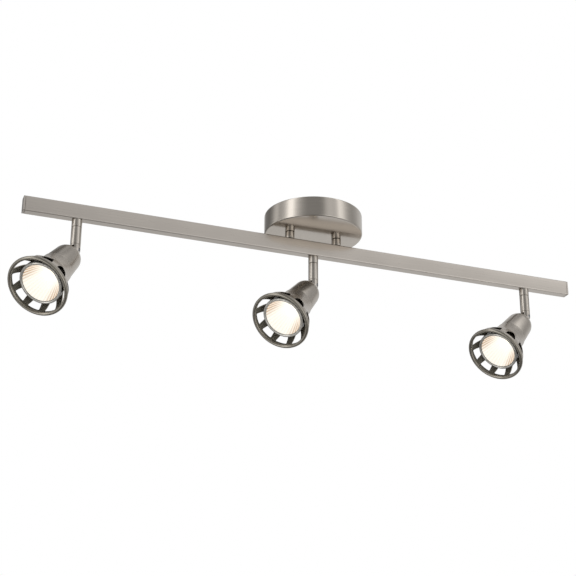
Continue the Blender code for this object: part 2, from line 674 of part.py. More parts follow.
def bowl_point(share, inset):
    """A point on the lamp's bowl, a paraboloid, from its front edge (0) to its neck (1)."""
    squared = LAMP_RADIUS ** 2 + (LAMP_NECK_RADIUS ** 2 - LAMP_RADIUS ** 2) * share
    return math.sqrt(squared) - inset, -(LAMP_FRONT - LAMP_BOWL_DEPTH * share)


def make_lamp(name, head):
    """Reflector bowl with its neck and two contact pins, the front lens and the retaining ring."""
    outer = [bowl_point(i / 6, 0.0) for i in range(7)]
    inner = [bowl_point(i / 6, LAMP_GLASS) for i in range(6)]
    neck_top = outer[-1][1]
    neck_end = neck_top + LAMP_NECK_LENGTH
    profile = [(0.0, neck_end), (LAMP_NECK_RADIUS, neck_end), *reversed(outer), *inner,
               (0.0, neck_top - LAMP_GLASS)]
    lamp = turned("lamp_" + name, profile, ROUND_MEDIUM, closed=False)
    for sign in (-1, 1):
        offset = sign * CONTACT_PIN_SPACING / 2
        pin = rod("contact_%s_%d" % (name, sign), (offset, 0, neck_end - MM),
                  (offset, 0, neck_end + CONTACT_PIN_LENGTH), CONTACT_PIN_DIAMETER / 2, 12)
        boolean(lamp, as_cutter(pin, head), "UNION")
    finish(lamp, "lamp_" + name, "reflector", head)

    lens_rear = -LAMP_FRONT - GAP
    lens_front = lens_rear - LENS_THICKNESS
    lens_radius = LAMP_RADIUS - GAP
    lens = turned("lamp_lens_" + name, [(0.0, lens_rear), (lens_radius, lens_rear),
                                       (lens_radius, lens_front), (0.0, lens_front)], ROUND_MEDIUM,
                  closed=False)
    finish(lens, "lamp_lens_" + name, "glass", head)

    lip_rear = lens_front - GAP
    lip_front = lip_rear - RING_WALL
    bore = LAMP_RADIUS + GAP
    rim = bore + RING_WALL
    ring_rear = lip_front + RING_DEPTH
    ring = turned("lamp_ring_" + name, [(rim, ring_rear), (rim, lip_front), (RING_OPENING_RADIUS, lip_front),
                                       (RING_OPENING_RADIUS, lip_rear), (bore, lip_rear),
                                       (bore, ring_rear)], ROUND_LARGE)
    finish(ring, "lamp_ring_" + name, "chrome", head)


def make_lamp_holder(name, head):
    """A flanged ceramic holder that fills the housing behind the lamp's neck."""
    neck_end = -(LAMP_FRONT - LAMP_BOWL_DEPTH - LAMP_NECK_LENGTH)
    face = neck_end + GAP
    back = face + HOLDER_LENGTH
    straight = HOUSING_FRONT - HOUSING_REAR - HOUSING_DOME_LENGTH
    flange_front = back - HOLDER_FLANGE_THICKNESS
    reach = (-back - HOUSING_REAR - HOUSING_DOME_LENGTH) / straight
    wall_radius = HOUSING_REAR_RADIUS + (HOUSING_FRONT_RADIUS - HOUSING_REAR_RADIUS) * reach - HOUSING_WALL
    flange_radius = wall_radius - GAP - 0.2 * MM
    profile = [(0.0, back), (flange_radius, back), (flange_radius, flange_front),
               (HOLDER_RADIUS, flange_front), (HOLDER_RADIUS, face), (0.0, face)]
    holder = turned("lamp_holder_" + name, profile, ROUND_MEDIUM, closed=False)
    holes = []
    for sign in (-1, 1):
        offset = sign * CONTACT_PIN_SPACING / 2
        holes.append(rod("holder_hole_%s_%d" % (name, sign), (offset, 0, face - MM),
                         (offset, 0, face + CONTACT_PIN_LENGTH + MM),
                         (CONTACT_PIN_DIAMETER + HOLE_PLAY) / 2, 12))
    cut_with(holder, holes, head)
    finish(holder, "lamp_holder_" + name, "ceramic", head)


def make_head(name, x, pan, tilt, phase):
    stem = empty("pan_" + name, (x, 0, 0), (0, 0, -math.radians(pan)))
    head = empty("tilt_" + name, (0, 0, PIVOT_Z), (-math.radians(tilt), 0, 0), stem)
    make_head_stem(name, x, stem)
    make_arm(name, head)
    make_housing(name, head)
    make_lamp_holder(name, head)
    make_lamp(name, head)
    make_shade(name, phase, head)


start_clean()
PARTS = new_collection("track_light")
CUTTERS = new_collection("cutters")
make_canopy()
make_crossbar()
make_canopy_screws()
make_ground_screw()
make_canopy_wiring()
make_canopy_stems()
make_bar()
make_bar_cover()
make_end_caps()
for head_place in head_places():
    make_head(*head_place)
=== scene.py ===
# %% [markdown]
# # A ceiling bar light with three aimed heads
# The fixture is a slim brushed-nickel bar under a round canopy. Three small spot heads hang from it on
# short stems, and each head can be turned and tilted. The CAD model already gives every piece its size and
# place, so this lesson only makes the surfaces: finer round pieces, slotted bells, glowing lamps, finishes.

import json
import math

import bmesh
import bpy
import numpy as np
from mathutils import Euler, Matrix, Vector


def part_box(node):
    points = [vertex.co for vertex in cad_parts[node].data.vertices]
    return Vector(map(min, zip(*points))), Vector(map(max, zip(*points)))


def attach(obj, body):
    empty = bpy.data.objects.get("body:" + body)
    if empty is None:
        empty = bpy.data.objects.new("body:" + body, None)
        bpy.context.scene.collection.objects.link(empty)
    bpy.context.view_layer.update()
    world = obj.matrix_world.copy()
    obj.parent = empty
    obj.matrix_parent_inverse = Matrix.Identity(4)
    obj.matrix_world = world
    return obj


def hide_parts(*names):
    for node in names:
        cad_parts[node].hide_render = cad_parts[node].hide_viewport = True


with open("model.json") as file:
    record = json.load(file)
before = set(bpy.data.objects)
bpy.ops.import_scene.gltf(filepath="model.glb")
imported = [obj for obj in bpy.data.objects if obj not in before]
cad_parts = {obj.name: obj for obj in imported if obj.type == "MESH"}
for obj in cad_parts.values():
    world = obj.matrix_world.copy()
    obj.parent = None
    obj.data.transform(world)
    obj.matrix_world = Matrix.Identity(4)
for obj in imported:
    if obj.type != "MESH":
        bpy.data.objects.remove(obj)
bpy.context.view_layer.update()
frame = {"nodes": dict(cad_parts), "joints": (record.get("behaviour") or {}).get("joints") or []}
nodes = frame["nodes"]

# %% [markdown]
# ## Colours and nodes
# A maker picks colours from samples, which are usually written as sRGB hex values. A renderer adds up light,
# so it needs linear values. One function turns one into the other. A second function adds a shader node
# with its settings and its links, so that a material reads as a short list of steps.

# %% Colour and node helpers
def linear(hex_value):
    """An sRGB hex colour as linear red, green, blue and an alpha of one."""
    channels = np.array([int(hex_value[i:i + 2], 16) for i in (1, 3, 5)]) / 255
    low = channels / 12.92
    high = ((channels + 0.055) / 1.055) ** 2.4
    return (*np.where(channels <= 0.04045, low, high).tolist(), 1.0)


def add(tree, kind, inputs=None, **settings):
    """Add one node. Settings are its own properties; inputs are values, or output sockets to link from.

    A colour Mix names several sockets alike, so its inputs go by number: 0 the factor, 6 and 7 the colours.
    """
    node = tree.nodes.new(kind)
    for key, value in settings.items():
        setattr(node, key, value)
    for key, value in (inputs or {}).items():
        if isinstance(value, bpy.types.NodeSocket):
            tree.links.new(value, node.inputs[key])
        else:
            node.inputs[key].default_value = value
    return node


def new_material(name, base, metallic=0.0, roughness=0.5):
    """A material with a Principled shader at its starting values; returns it, its tree and the shader."""
    material = bpy.data.materials.new(name)
    material.use_nodes = True
    tree = material.node_tree
    shader = tree.nodes["Principled BSDF"]
    shader.inputs["Base Color"].default_value = linear(base)
    shader.inputs["Metallic"].default_value = metallic
    shader.inputs["Roughness"].default_value = roughness
    return material, tree, shader


# %% [markdown]
# ## Brushed nickel
# Brushed nickel is a nickel plate rubbed with a fine abrasive belt or pad. The scratches all run one way and
# are about 0.1 to 0.3 mm wide, so the reflection is smeared across them. The noise pattern is stretched along
# the scratches. On the straight bar they run along X, so the pattern reads Object coordinates. On a turned
# piece they run round it, so the pattern reads that piece's own UV map, where U goes round and V along.

# %% Brushed nickel for the bar and for turned pieces
MM = 0.001
SCRATCH_WIDTH = 0.7 * MM        # coarser than the real 0.2 mm, so that it still shows in the picture
SCRATCH_LENGTH = 60 * MM


def brushed(name, base, roughness, coordinates, stretch, spread=0.03, depth=0.012):
    """Noise stretched by (x, y, z) scales varies the colour, the gloss and the height of the scratches."""
    material, tree, shader = new_material(name, base, 1.0, roughness)
    place = add(tree, "ShaderNodeTexCoord")
    scaled = add(tree, "ShaderNodeMapping", {"Vector": place.outputs[coordinates], "Scale": stretch})
    scratches = add(tree, "ShaderNodeTexNoise", {"Vector": scaled.outputs["Vector"], "Scale": 1.0,
                                                "Detail": 3.0, "Roughness": 0.6})
    cloud = add(tree, "ShaderNodeTexNoise", {"Vector": place.outputs["Object"], "Scale": 18.0,
                                            "Detail": 2.0})
    gloss = add(tree, "ShaderNodeMapRange", {"Value": scratches.outputs["Fac"], "From Min": 0.3,
                                            "From Max": 0.7, "To Min": roughness - spread,
                                            "To Max": roughness + spread})
    tree.links.new(gloss.outputs["Result"], shader.inputs["Roughness"])
    mixed = add(tree, "ShaderNodeMath", {0: scratches.outputs["Fac"], 1: cloud.outputs["Fac"]},
                operation="MULTIPLY")
    tone = add(tree, "ShaderNodeMapRange", {"Value": mixed.outputs["Value"], "From Min": 0.12,
                                           "From Max": 0.40, "To Min": 0.93, "To Max": 1.04})
    colour = add(tree, "ShaderNodeVectorMath", {0: linear(base)[:3], "Scale": tone.outputs["Result"]},
                 operation="SCALE")
    tree.links.new(colour.outputs["Vector"], shader.inputs["Base Color"])
    bump = add(tree, "ShaderNodeBump", {"Height": scratches.outputs["Fac"], "Strength": depth,
                                       "Distance": 0.1 * MM})
    tree.links.new(bump.outputs["Normal"], shader.inputs["Normal"])
    return material


across = 1 / SCRATCH_WIDTH
along = 1 / SCRATCH_LENGTH
bar_nickel = brushed("nickel plate, belt brushed", "#C9C2BA", 0.30, "Object", (along, across, across))
turned_nickel = brushed("nickel plate, lathe brushed", "#C6BFB6", 0.23, "UV", (6.0, 70.0, 1.0))
spun_nickel = brushed("nickel plate, spun and brushed", "#C6BFB6", 0.17, "UV", (6.0, 40.0, 1.0))
print("brushed nickel:", bar_nickel.name, "/", turned_nickel.name)

# %% [markdown]
# ## Round pieces from a profile
# Almost everything on a spot head was turned or spun, so its shape is one outline carried round an axis. The
# outline is a list of points, each a radius and a height. It could be drawn and spun by hand, but worked out
# as whole arrays it is exact, light and easy to change. Sharp corners are first rounded, because a real
# edge always catches a thin line of light.

# %% Turn a profile into a mesh
V_PER_METRE = 20      # how far V runs along one metre of profile


def rounded(points, radius, steps=4):
    """Replace each inner corner by a quadratic curve that starts and ends a radius away from the corner."""
    points = np.asarray(points, float)
    before = points[:-2] - points[1:-1]
    after = points[2:] - points[1:-1]
    reach_before = np.minimum(radius, 0.45 * np.linalg.norm(before, axis=1))
    reach_after = np.minimum(radius, 0.45 * np.linalg.norm(after, axis=1))
    start = points[1:-1] + before * (reach_before / np.linalg.norm(before, axis=1))[:, None]
    end = points[1:-1] + after * (reach_after / np.linalg.norm(after, axis=1))[:, None]
    t = np.linspace(0, 1, steps)[None, :, None]
    curve = (1 - t) ** 2 * start[:, None] + 2 * t * (1 - t) * points[1:-1][:, None] + t ** 2 * end[:, None]
    return np.vstack([points[:1], curve.reshape(-1, 2), points[-1:]])


def make_object(name, vertices, faces, material, uv=None, sharp=35.0):
    """A mesh object at the origin from arrays of corners and faces, shaded smooth up to a sharp angle."""
    mesh = bpy.data.meshes.new(name)
    mesh.from_pydata(np.asarray(vertices).tolist(), [], [list(dict.fromkeys(face)) for face in faces])
    mesh.materials.append(material)
    if uv is not None:
        corner_vertex = np.empty(len(mesh.loops), int)
        mesh.loops.foreach_get("vertex_index", corner_vertex)
        layer = mesh.uv_layers.new(name="UVMap")
        layer.data.foreach_set("uv", np.asarray(uv)[corner_vertex].ravel())
    mesh.shade_smooth()
    mesh.set_sharp_from_angle(angle=math.radians(sharp))
    obj = bpy.data.objects.new(name, mesh)
    bpy.context.scene.collection.objects.link(obj)
    return obj


def lathe(profile, columns=128, closed=False):
    """Carry a profile of (radius, height) round Z: x = radius cos(angle), y = radius sin(angle), z = height.

    Returns the vertices, the faces and a UV per vertex: U the share of the turn folded so that it meets
    itself, V the distance along the profile. A row of radius zero closes to one point.
    """
    profile = np.asarray(profile, float)
    angle = np.linspace(0, 2 * np.pi, columns, endpoint=False)
    radius, height = profile[:, :1], profile[:, 1:]
    grid = np.stack([radius * np.cos(angle), radius * np.sin(angle), height + 0 * angle], axis=-1)
    index = np.arange(len(profile) * columns).reshape(len(profile), columns)
    index[profile[:, 0] < 1e-9] = index[profile[:, 0] < 1e-9][:, :1]
    row = index if not closed else np.vstack([index, index[:1]])
    right = np.roll(row, -1, axis=1)
    faces = np.stack([row[:-1], row[1:], right[1:], right[:-1]], axis=-1).reshape(-1, 4)
    run = np.concatenate([[0], np.cumsum(np.linalg.norm(np.diff(profile, axis=0), axis=1))])
    fold = np.abs(1 - 2 * np.linspace(0, 1, columns, endpoint=False))
    uv = np.stack([np.broadcast_to(fold, index.shape),
                   np.broadcast_to(run[:, None] * V_PER_METRE, index.shape)], -1)
    return grid.reshape(-1, 3), faces, uv.reshape(-1, 2)


def place(vertices, origin, axes=np.eye(3)):
    """Turn local points by three unit axes (as columns) and move them to an origin."""
    return vertices @ np.asarray(axes).T + np.asarray(origin)


def mark(obj, name, values):
    """Store one number per vertex on the mesh, for a material to read as a mask."""
    obj.data.attributes.new(name, "FLOAT", "POINT").data.foreach_set("value", np.asarray(values, float))


def drop_loose(obj):
    """Take out vertices that no face uses, such as the spare ones of a closed pole."""
    mesh = obj.data
    used = np.zeros(len(mesh.vertices), bool)
    corner_vertex = np.empty(len(mesh.loops), int)
    mesh.loops.foreach_get("vertex_index", corner_vertex)
    used[corner_vertex] = True
    if not used.all():
        editor = bmesh.new()
        editor.from_mesh(mesh)
        bmesh.ops.delete(editor, geom=[v for v in editor.verts if not v.link_faces], context="VERTS")
        editor.to_mesh(mesh)
        editor.free()
    return obj


def turned_piece(name, profile, origin, material, body, stands_for, axes=np.eye(3), columns=128,
                 closed=False):
    """A turned piece in place, riding on its body and standing for its CAD nodes."""
    vertices, faces, uv = lathe(profile, columns, closed)
    obj = make_object(name, place(vertices, origin, axes), faces, material, uv)
    drop_loose(obj)
    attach(obj, body)
    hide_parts(*stands_for)
    return obj


# %% [markdown]
# ## The canopy
# The canopy is a shallow pan spun from sheet steel, open at the top, that hides the ceiling box. Its rim
# meets the ceiling and its flat underside carries the two short stems.

# %% Spin the canopy
low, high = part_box("canopy")
canopy_radius = (high.x - low.x) / 2
canopy_height = high.z - low.z
SHEET = 1.0 * MM
outline = [(0, low.z + SHEET), (canopy_radius - SHEET, low.z + SHEET), (canopy_radius - SHEET, high.z),
           (canopy_radius, high.z), (canopy_radius, low.z), (0, low.z)]
turned_piece("canopy_shell", rounded(outline, 2.2 * MM, 7), (0, 0, 0), spun_nickel, "fixture",
             ["canopy"], columns=192)
print("canopy diameter %.1f mm, height %.1f mm" % (2000 * canopy_radius, 1000 * canopy_height))

# %% [markdown]
# ## Stems, collars and tubes
# Two plain sleeves join the canopy to the bar. Under the bar each head has a collar, and below that a tube
# which turns with the head. All are short lengths of tube with a small chamfer at each end.

# %% Turn the sleeves, collars and stem tubes
def tube_piece(name, node, bore, body):
    """A tube of the CAD node's length and diameter, with its corners eased by 0.4 mm."""
    low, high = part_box(node)
    radius = max(high.x - low.x, high.y - low.y) / 2
    bore = min(bore, radius - MM)
    outline = [(bore, high.z - 2 * MM), (bore, high.z), (radius, high.z), (radius, low.z), (bore, low.z),
               (bore, low.z + 2 * MM)]
    centre = ((low.x + high.x) / 2, (low.y + high.y) / 2, 0)
    return turned_piece(name, rounded(outline, 0.5 * MM), centre, turned_nickel, body, [node], columns=96,
                        closed=True)


HEADS = ("left", "middle", "right")
for side in ("left", "right"):
    tube_piece("sleeve_" + side, "canopy_stem_" + side, 3.3 * MM, "fixture")
for head in HEADS:
    tube_piece("collar_" + head, "swivel_collar_" + head, 3.3 * MM, "fixture")
    tube_piece("tube_" + head, "stem_tube_" + head, 4.5 * MM, "stem_" + head)
print("turned tubes:", 2 + 2 * len(HEADS))

# %% [markdown]
# ## A frame for each head
# A head is easiest to draw pointing straight down, with its origin on the tilt pin. Three unit axes then
# turn it to its aim: the pin's direction, the head's own axis, and the one square to both. The pin comes
# from the joint, and the head's axis runs from the pin to the middle of the lamp's lens.

# %% Work out each head's axes
def head_axes(head):
    """The pin's place, and columns X (along the pin), Y (across) and Z (back along the head's axis)."""
    joint = next(j for j in frame["joints"] if j["name"] == "tilt_" + head)
    pivot = np.array(joint["pos_m"], float)
    low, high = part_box("lamp_lens_" + head)
    x_axis = -np.array(joint["axis"], float)
    z_axis = pivot - (np.array(low) + np.array(high)) / 2
    z_axis /= np.linalg.norm(z_axis)
    x_axis -= z_axis * (x_axis @ z_axis)
    x_axis /= np.linalg.norm(x_axis)
    return pivot, np.stack([x_axis, np.cross(z_axis, x_axis), z_axis], axis=1)


PLACES = {head: head_axes(head) for head in HEADS}
for head in HEADS:
    print(head, "tilt %.1f degrees" % math.degrees(math.acos(PLACES[head][1][2, 2])))

# %% [markdown]
# ## The housing
# The rear of the head is a small drawn cup with a rounded back. The arm comes through a hole in its back,
# and its front edge holds the bell.

# %% Turn the housings
HOUSING = dict(rear=9.5 * MM, front=47.0 * MM, dome=13.5 * MM, rear_radius=16.4 * MM,
               front_radius=18.4 * MM, hole=5.5 * MM, wall=1.0 * MM)


def housing_profile():
    """A quarter ellipse from the rear hole to the full width, then a slow taper, then the wall back inside."""
    turn = np.linspace(0, np.pi / 2, 24)
    size = HOUSING
    outer = np.stack([size["hole"] + (size["rear_radius"] - size["hole"]) * np.sin(turn),
                      -(size["rear"] + size["dome"] * (1 - np.cos(turn)))], axis=1)
    inner = np.stack([size["hole"] + (size["rear_radius"] - size["wall"] - size["hole"]) * np.sin(turn),
                      -(size["rear"] + size["wall"] + (size["dome"] - size["wall"]) * (1 - np.cos(turn)))],
                     axis=1)
    front = -size["front"]
    lip = rounded([outer[-1], (size["front_radius"], front), (size["front_radius"] - size["wall"], front),
                   inner[-1]], 0.4 * MM)
    return np.vstack([outer[:-1], lip, inner[-2::-1]])


for head in HEADS:
    pivot, axes = PLACES[head]
    turned_piece("cup_" + head, housing_profile(), pivot, turned_nickel, "head_" + head,
                 ["housing_" + head], axes, 128, closed=True)
print("housing length %.1f mm" % ((HOUSING["front"] - HOUSING["rear"]) / MM))

# %% [markdown]
# ## The slotted bell
# The bell flares from the housing to a rolled rim, and ten windows between struts let the lamp's heat out.
# Windows could be cut with Boolean modifiers, but then the edges and the shading are hard to control. Here
# the wall is a grid of rows along the axis and columns round it. The columns lean so that two of them always
# run along a strut's edges, and the window's faces are simply left out. A strip of faces then joins the outer
# wall to the inner wall round each window.

# %% The bell's sizes and outline
BELL = dict(spigot=41.0 * MM, rear=47.3 * MM, flare_end=88.0 * MM, neck_radius=19.0 * MM, flare=14.9 * MM,
            spigot_radius=16.6 * MM, wall=1.0 * MM, bead=2.0 * MM, bead_centre=92.5 * MM)
BELL_SHARES = np.array([(0.0, 0.0), (0.17, 0.05), (0.31, 0.12), (0.46, 0.24), (0.56, 0.40), (0.70, 0.66),
                        (0.85, 0.87), (1.0, 1.0)])
WINDOWS = dict(count=10, rear=67.0 * MM, front=87.6 * MM, rear_strut=11.6 * MM, front_strut=7.0 * MM,
               corner=1.3 * MM)
PHASE = {"left": 2.5, "middle": 31.0, "right": 27.5}


def bell_radius(distance):
    """Outer radius at a distance from the pin: cubic Hermite pieces through the outline's points."""
    x, y = BELL_SHARES.T
    slope = np.gradient(y, x)
    share = np.clip((distance - BELL["rear"]) / (BELL["flare_end"] - BELL["rear"]), 0, 1)
    i = np.clip(np.searchsorted(x, share, side="right") - 1, 0, len(x) - 2)
    width = x[i + 1] - x[i]
    t = (share - x[i]) / width
    flare = ((2 * t ** 3 - 3 * t ** 2 + 1) * y[i] + (t ** 3 - 2 * t ** 2 + t) * width * slope[i]
             + (3 * t ** 2 - 2 * t ** 3) * y[i + 1] + (t ** 3 - t ** 2) * width * slope[i + 1])
    return BELL["neck_radius"] + BELL["flare"] * flare


def strut_share(distance):
    """Half of a strut's width as a share of one window's pitch, widened by a round corner at both ends."""
    size = WINDOWS
    t = np.clip((distance - size["rear"]) / (size["front"] - size["rear"]), 0, 1)
    half = (size["rear_strut"] * (1 - t) + size["front_strut"] * t) / 2
    edge = np.minimum(np.abs(distance - size["rear"]), np.abs(distance - size["front"]))
    inside = (distance >= size["rear"]) & (distance <= size["front"])
    gap = np.clip(size["corner"] - edge, 0, size["corner"])
    half = half + np.where(inside, size["corner"] - np.sqrt(size["corner"] ** 2 - gap ** 2), size["corner"])
    return half / bell_radius(distance) / (2 * np.pi / size["count"])


# %% The bell's grid
BEAD_SHADE_SHARE = 0.75      # the rolled rim's finish and painted shade lie between the outside (0) and the inside (1)
BEAD_FROM = 3          # the bead's point where that mixed finish and painted shade start
INNER_FROM = 19        # the bead's point where the inside finish and painted shade start
BEAD_POINTS = 26
PLAIN_ROWS = 16        # rows of faces behind the windows
CORNER_ROWS = 6        # rows round a window's corner
STRAIGHT_ROWS = 14     # rows between a window's corners
LIP_ROWS = (89.3 * MM, 90.2 * MM)      # where the flare turns into the bead


def bell_mesh(phase, strut_columns=4, window_columns=10):
    """Rows follow the closed outline; the column angles slide so that strut edges are grid lines.

    Returns the vertices, the faces, a UV and, for each vertex, how far its finish and painted shade are those
    of the inside.
    """
    size, win = BELL, WINDOWS
    ease = win["corner"] * (1 - np.cos(np.linspace(0, np.pi / 2, CORNER_ROWS)))
    plain = np.linspace(size["rear"] + 0.5 * MM, win["rear"], PLAIN_ROWS)[:-1]
    straight = np.linspace(win["rear"] + win["corner"], win["front"] - win["corner"], STRAIGHT_ROWS)[1:-1]
    rows = np.concatenate([plain, win["rear"] + ease, straight, (win["front"] - ease)[::-1],
                           [size["flare_end"], *LIP_ROWS]])
    first = len(plain)
    last = first + 2 * len(ease) + len(straight) - 1
    outer_radius = bell_radius(rows)
    turn = np.radians(np.linspace(62, -242, BEAD_POINTS))
    bead = np.stack([size["neck_radius"] + size["flare"] - 0.2 * MM + size["bead"] * np.cos(turn),
                     size["bead_centre"] - size["bead"] * np.sin(turn)], axis=1)
    start = np.array([(size["spigot_radius"], size["spigot"]), (size["spigot_radius"], size["rear"]),
                      (size["neck_radius"] - 0.5 * MM, size["rear"])])
    finish = np.array([(size["spigot_radius"] - size["wall"], size["rear"] + MM),
                       (size["spigot_radius"] - size["wall"], size["spigot"])])
    outer = np.stack([outer_radius, rows], axis=1)
    inner = np.stack([outer_radius - size["wall"], rows], axis=1)[::-1]
    profile = np.vstack([start, outer, bead, inner, finish])
    share = strut_share(profile[:, 1])[:, None]
    edge = np.linspace(0, 1, strut_columns, endpoint=False)
    middle = np.linspace(0, 1, window_columns, endpoint=False)
    pitch = np.concatenate([share * edge, share + (1 - 2 * share) * middle, 1 - share * (1 - edge)], axis=1)
    per_pitch = pitch.shape[1]
    step = 2 * np.pi / win["count"]
    angle = (np.arange(win["count"])[None, :, None] + pitch[:, None, :]) * step + math.radians(phase)
    angle = angle.reshape(len(profile), -1)
    columns = angle.shape[1]
    radius = profile[:, :1]
    grid = np.stack([radius * np.cos(angle), radius * np.sin(angle), -profile[:, 1:] + 0 * angle], axis=-1)
    index = np.arange(len(profile) * columns).reshape(len(profile), columns)
    below, right = np.roll(index, -1, axis=0), np.roll(index, -1, axis=1)
    below_right = np.roll(below, -1, axis=1)
    quads = np.stack([index, below, below_right, right], axis=-1)

    column_in_window = np.zeros(per_pitch, bool)
    column_in_window[strut_columns:strut_columns + window_columns] = True
    column_in_window = np.tile(column_in_window, win["count"])
    outer_first, outer_last = len(start) + first, len(start) + last
    inner_end = len(start) + len(rows) + len(bead) + len(rows) - 1
    inner_first, inner_last = inner_end - last, inner_end - first
    row_in_window = np.zeros(len(profile), bool)
    row_in_window[outer_first:outer_last] = True
    row_in_window[inner_first:inner_last] = True
    solid = quads[~(row_in_window[:, None] & column_in_window[None, :])]

    def facing(row):
        """The inner wall's row at the same distance as an outer row."""
        return inner_end - (row - len(start))

    window_rows = np.arange(outer_first, outer_last)
    lefts = np.arange(win["count"]) * per_pitch + strut_columns
    rights = lefts + window_columns
    row, column = np.meshgrid(window_rows, lefts, indexing="ij")
    left_side = np.stack([index[row, column], index[row + 1, column], index[facing(row + 1), column],
                          index[facing(row), column]], -1)
    row, column = np.meshgrid(window_rows, rights, indexing="ij")
    right_side = np.stack([index[row + 1, column], index[row, column], index[facing(row), column],
                           index[facing(row + 1), column]], -1)
    open_columns = np.flatnonzero(column_in_window)
    rear_side = np.stack([right[outer_first, open_columns], index[outer_first, open_columns],
                          index[facing(outer_first), open_columns],
                          right[facing(outer_first), open_columns]], -1)
    front_side = np.stack([index[outer_last, open_columns], right[outer_last, open_columns],
                           right[facing(outer_last), open_columns],
                           index[facing(outer_last), open_columns]], -1)
    faces = np.vstack([solid, left_side.reshape(-1, 4), right_side.reshape(-1, 4), rear_side, front_side])
    run = np.concatenate([[0], np.cumsum(np.linalg.norm(np.diff(profile, axis=0), axis=1))])
    fold = np.abs(1 - 2 * (angle % (2 * np.pi)) / (2 * np.pi))
    uv = np.stack([fold, np.broadcast_to(run[:, None] * V_PER_METRE, fold.shape)], axis=-1)
    # the inside share also sets the painted shade: it darkens the colour of the inside and, in part, of the rim
    inside = np.zeros(len(profile))
    bead_start = len(start) + len(rows)
    inside[bead_start + BEAD_FROM:] = BEAD_SHADE_SHARE
    inside[bead_start + INNER_FROM:] = 1.0
    return grid.reshape(-1, 3), faces, uv.reshape(-1, 2), np.repeat(inside, columns)


# %% [markdown]
# ## The bell's two finishes and its painted shade
# Outside, the bell is brushed like the rest. Inside, the plate is thinner and duller, and it mostly mirrors its
# own dark hollow; its colour is darkened there as painted shade for that hollow. The rolled rim lies between
# the two and takes part of that painted shade. A mask stored on the mesh tells them apart, so that one material
# can hold all three on one piece.

# %% Brushed outside, painted shade inside
def bell_material():
    """Brushed nickel outside; inside, duller nickel darkened by painted shade, mixed by the mask named
    inner_side.
    """
    material, tree, shader = new_material("nickel plate, brushed outside, painted shade inside", "#C6BFB6",
                                          1.0, 0.3)
    place_node = add(tree, "ShaderNodeTexCoord")
    mask = add(tree, "ShaderNodeAttribute", attribute_name="inner_side")
    scaled = add(tree, "ShaderNodeMapping", {"Vector": place_node.outputs["UV"], "Scale": (6.0, 90.0, 1.0)})
    scratches = add(tree, "ShaderNodeTexNoise", {"Vector": scaled.outputs["Vector"], "Scale": 1.0,
                                                "Detail": 3.0})
    brushed_gloss = add(tree, "ShaderNodeMapRange", {"Value": scratches.outputs["Fac"], "From Min": 0.3,
                                                    "From Max": 0.7, "To Min": 0.22, "To Max": 0.32})
    inside_gloss = add(tree, "ShaderNodeMapRange", {"Value": scratches.outputs["Fac"], "From Min": 0.3,
                                                   "From Max": 0.7, "To Min": 0.22, "To Max": 0.30})
    gloss = add(tree, "ShaderNodeMix", {"Factor": mask.outputs["Fac"], "A": brushed_gloss.outputs["Result"],
                                        "B": inside_gloss.outputs["Result"]})
    tree.links.new(gloss.outputs["Result"], shader.inputs["Roughness"])
    # painted shade: the inside's colour is tinted towards #8C877B for the dark hollow it mirrors, and the rim
    # takes part of it
    tint = add(tree, "ShaderNodeMix", {0: mask.outputs["Fac"], 6: linear("#C6BFB6"), 7: linear("#8C877B")},
               data_type="RGBA")
    tree.links.new(tint.outputs[2], shader.inputs["Base Color"])
    dull = add(tree, "ShaderNodeMapRange", {"Value": mask.outputs["Fac"], "From Min": 0.8, "From Max": 1.0,
                                           "To Min": 1.0, "To Max": 0.45})
    tree.links.new(dull.outputs["Result"], shader.inputs["Metallic"])
    bump = add(tree, "ShaderNodeBump", {"Height": scratches.outputs["Fac"], "Strength": 0.012,
                                       "Distance": 0.1 * MM})
    tree.links.new(bump.outputs["Normal"], shader.inputs["Normal"])
    return material


bell_nickel = bell_material()
for head in HEADS:
    pivot, axes = PLACES[head]
    vertices, faces, uv, inside = bell_mesh(PHASE[head])
    bell = make_object("bell_" + head, place(vertices, pivot, axes), faces, bell_nickel, uv, 40.0)
    mark(bell, "inner_side", inside)
    edges = bell.modifiers.new("Eased edges", "BEVEL")
    edges.width = 0.22 * MM
    edges.segments = 2
    edges.limit_method = "ANGLE"
    edges.angle_limit = math.radians(55)
    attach(bell, "head_" + head)
    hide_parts("shade_" + head)
print("bell faces:", len(faces))

# %% [markdown]
# ## The lamp
# The lamp is a 50 mm reflector lamp: a fluted glass bowl with a bright coating, a short neck with two pins,
# and a burner in the middle. The flutes spread the light, so the bowl looks white where it throws the
# burner's light at the eye, and tan where it shows the coating. The flutes are real ripples in the radius,
# and the glow is an emission colour that depends on the place in the bowl.

# %% The fluted bowl
LAMP = dict(radius=24.7 * MM, front=83.2 * MM, depth=31.0 * MM, neck=10.0 * MM, neck_length=9.5 * MM,
            glass=1.5 * MM, flutes=36)


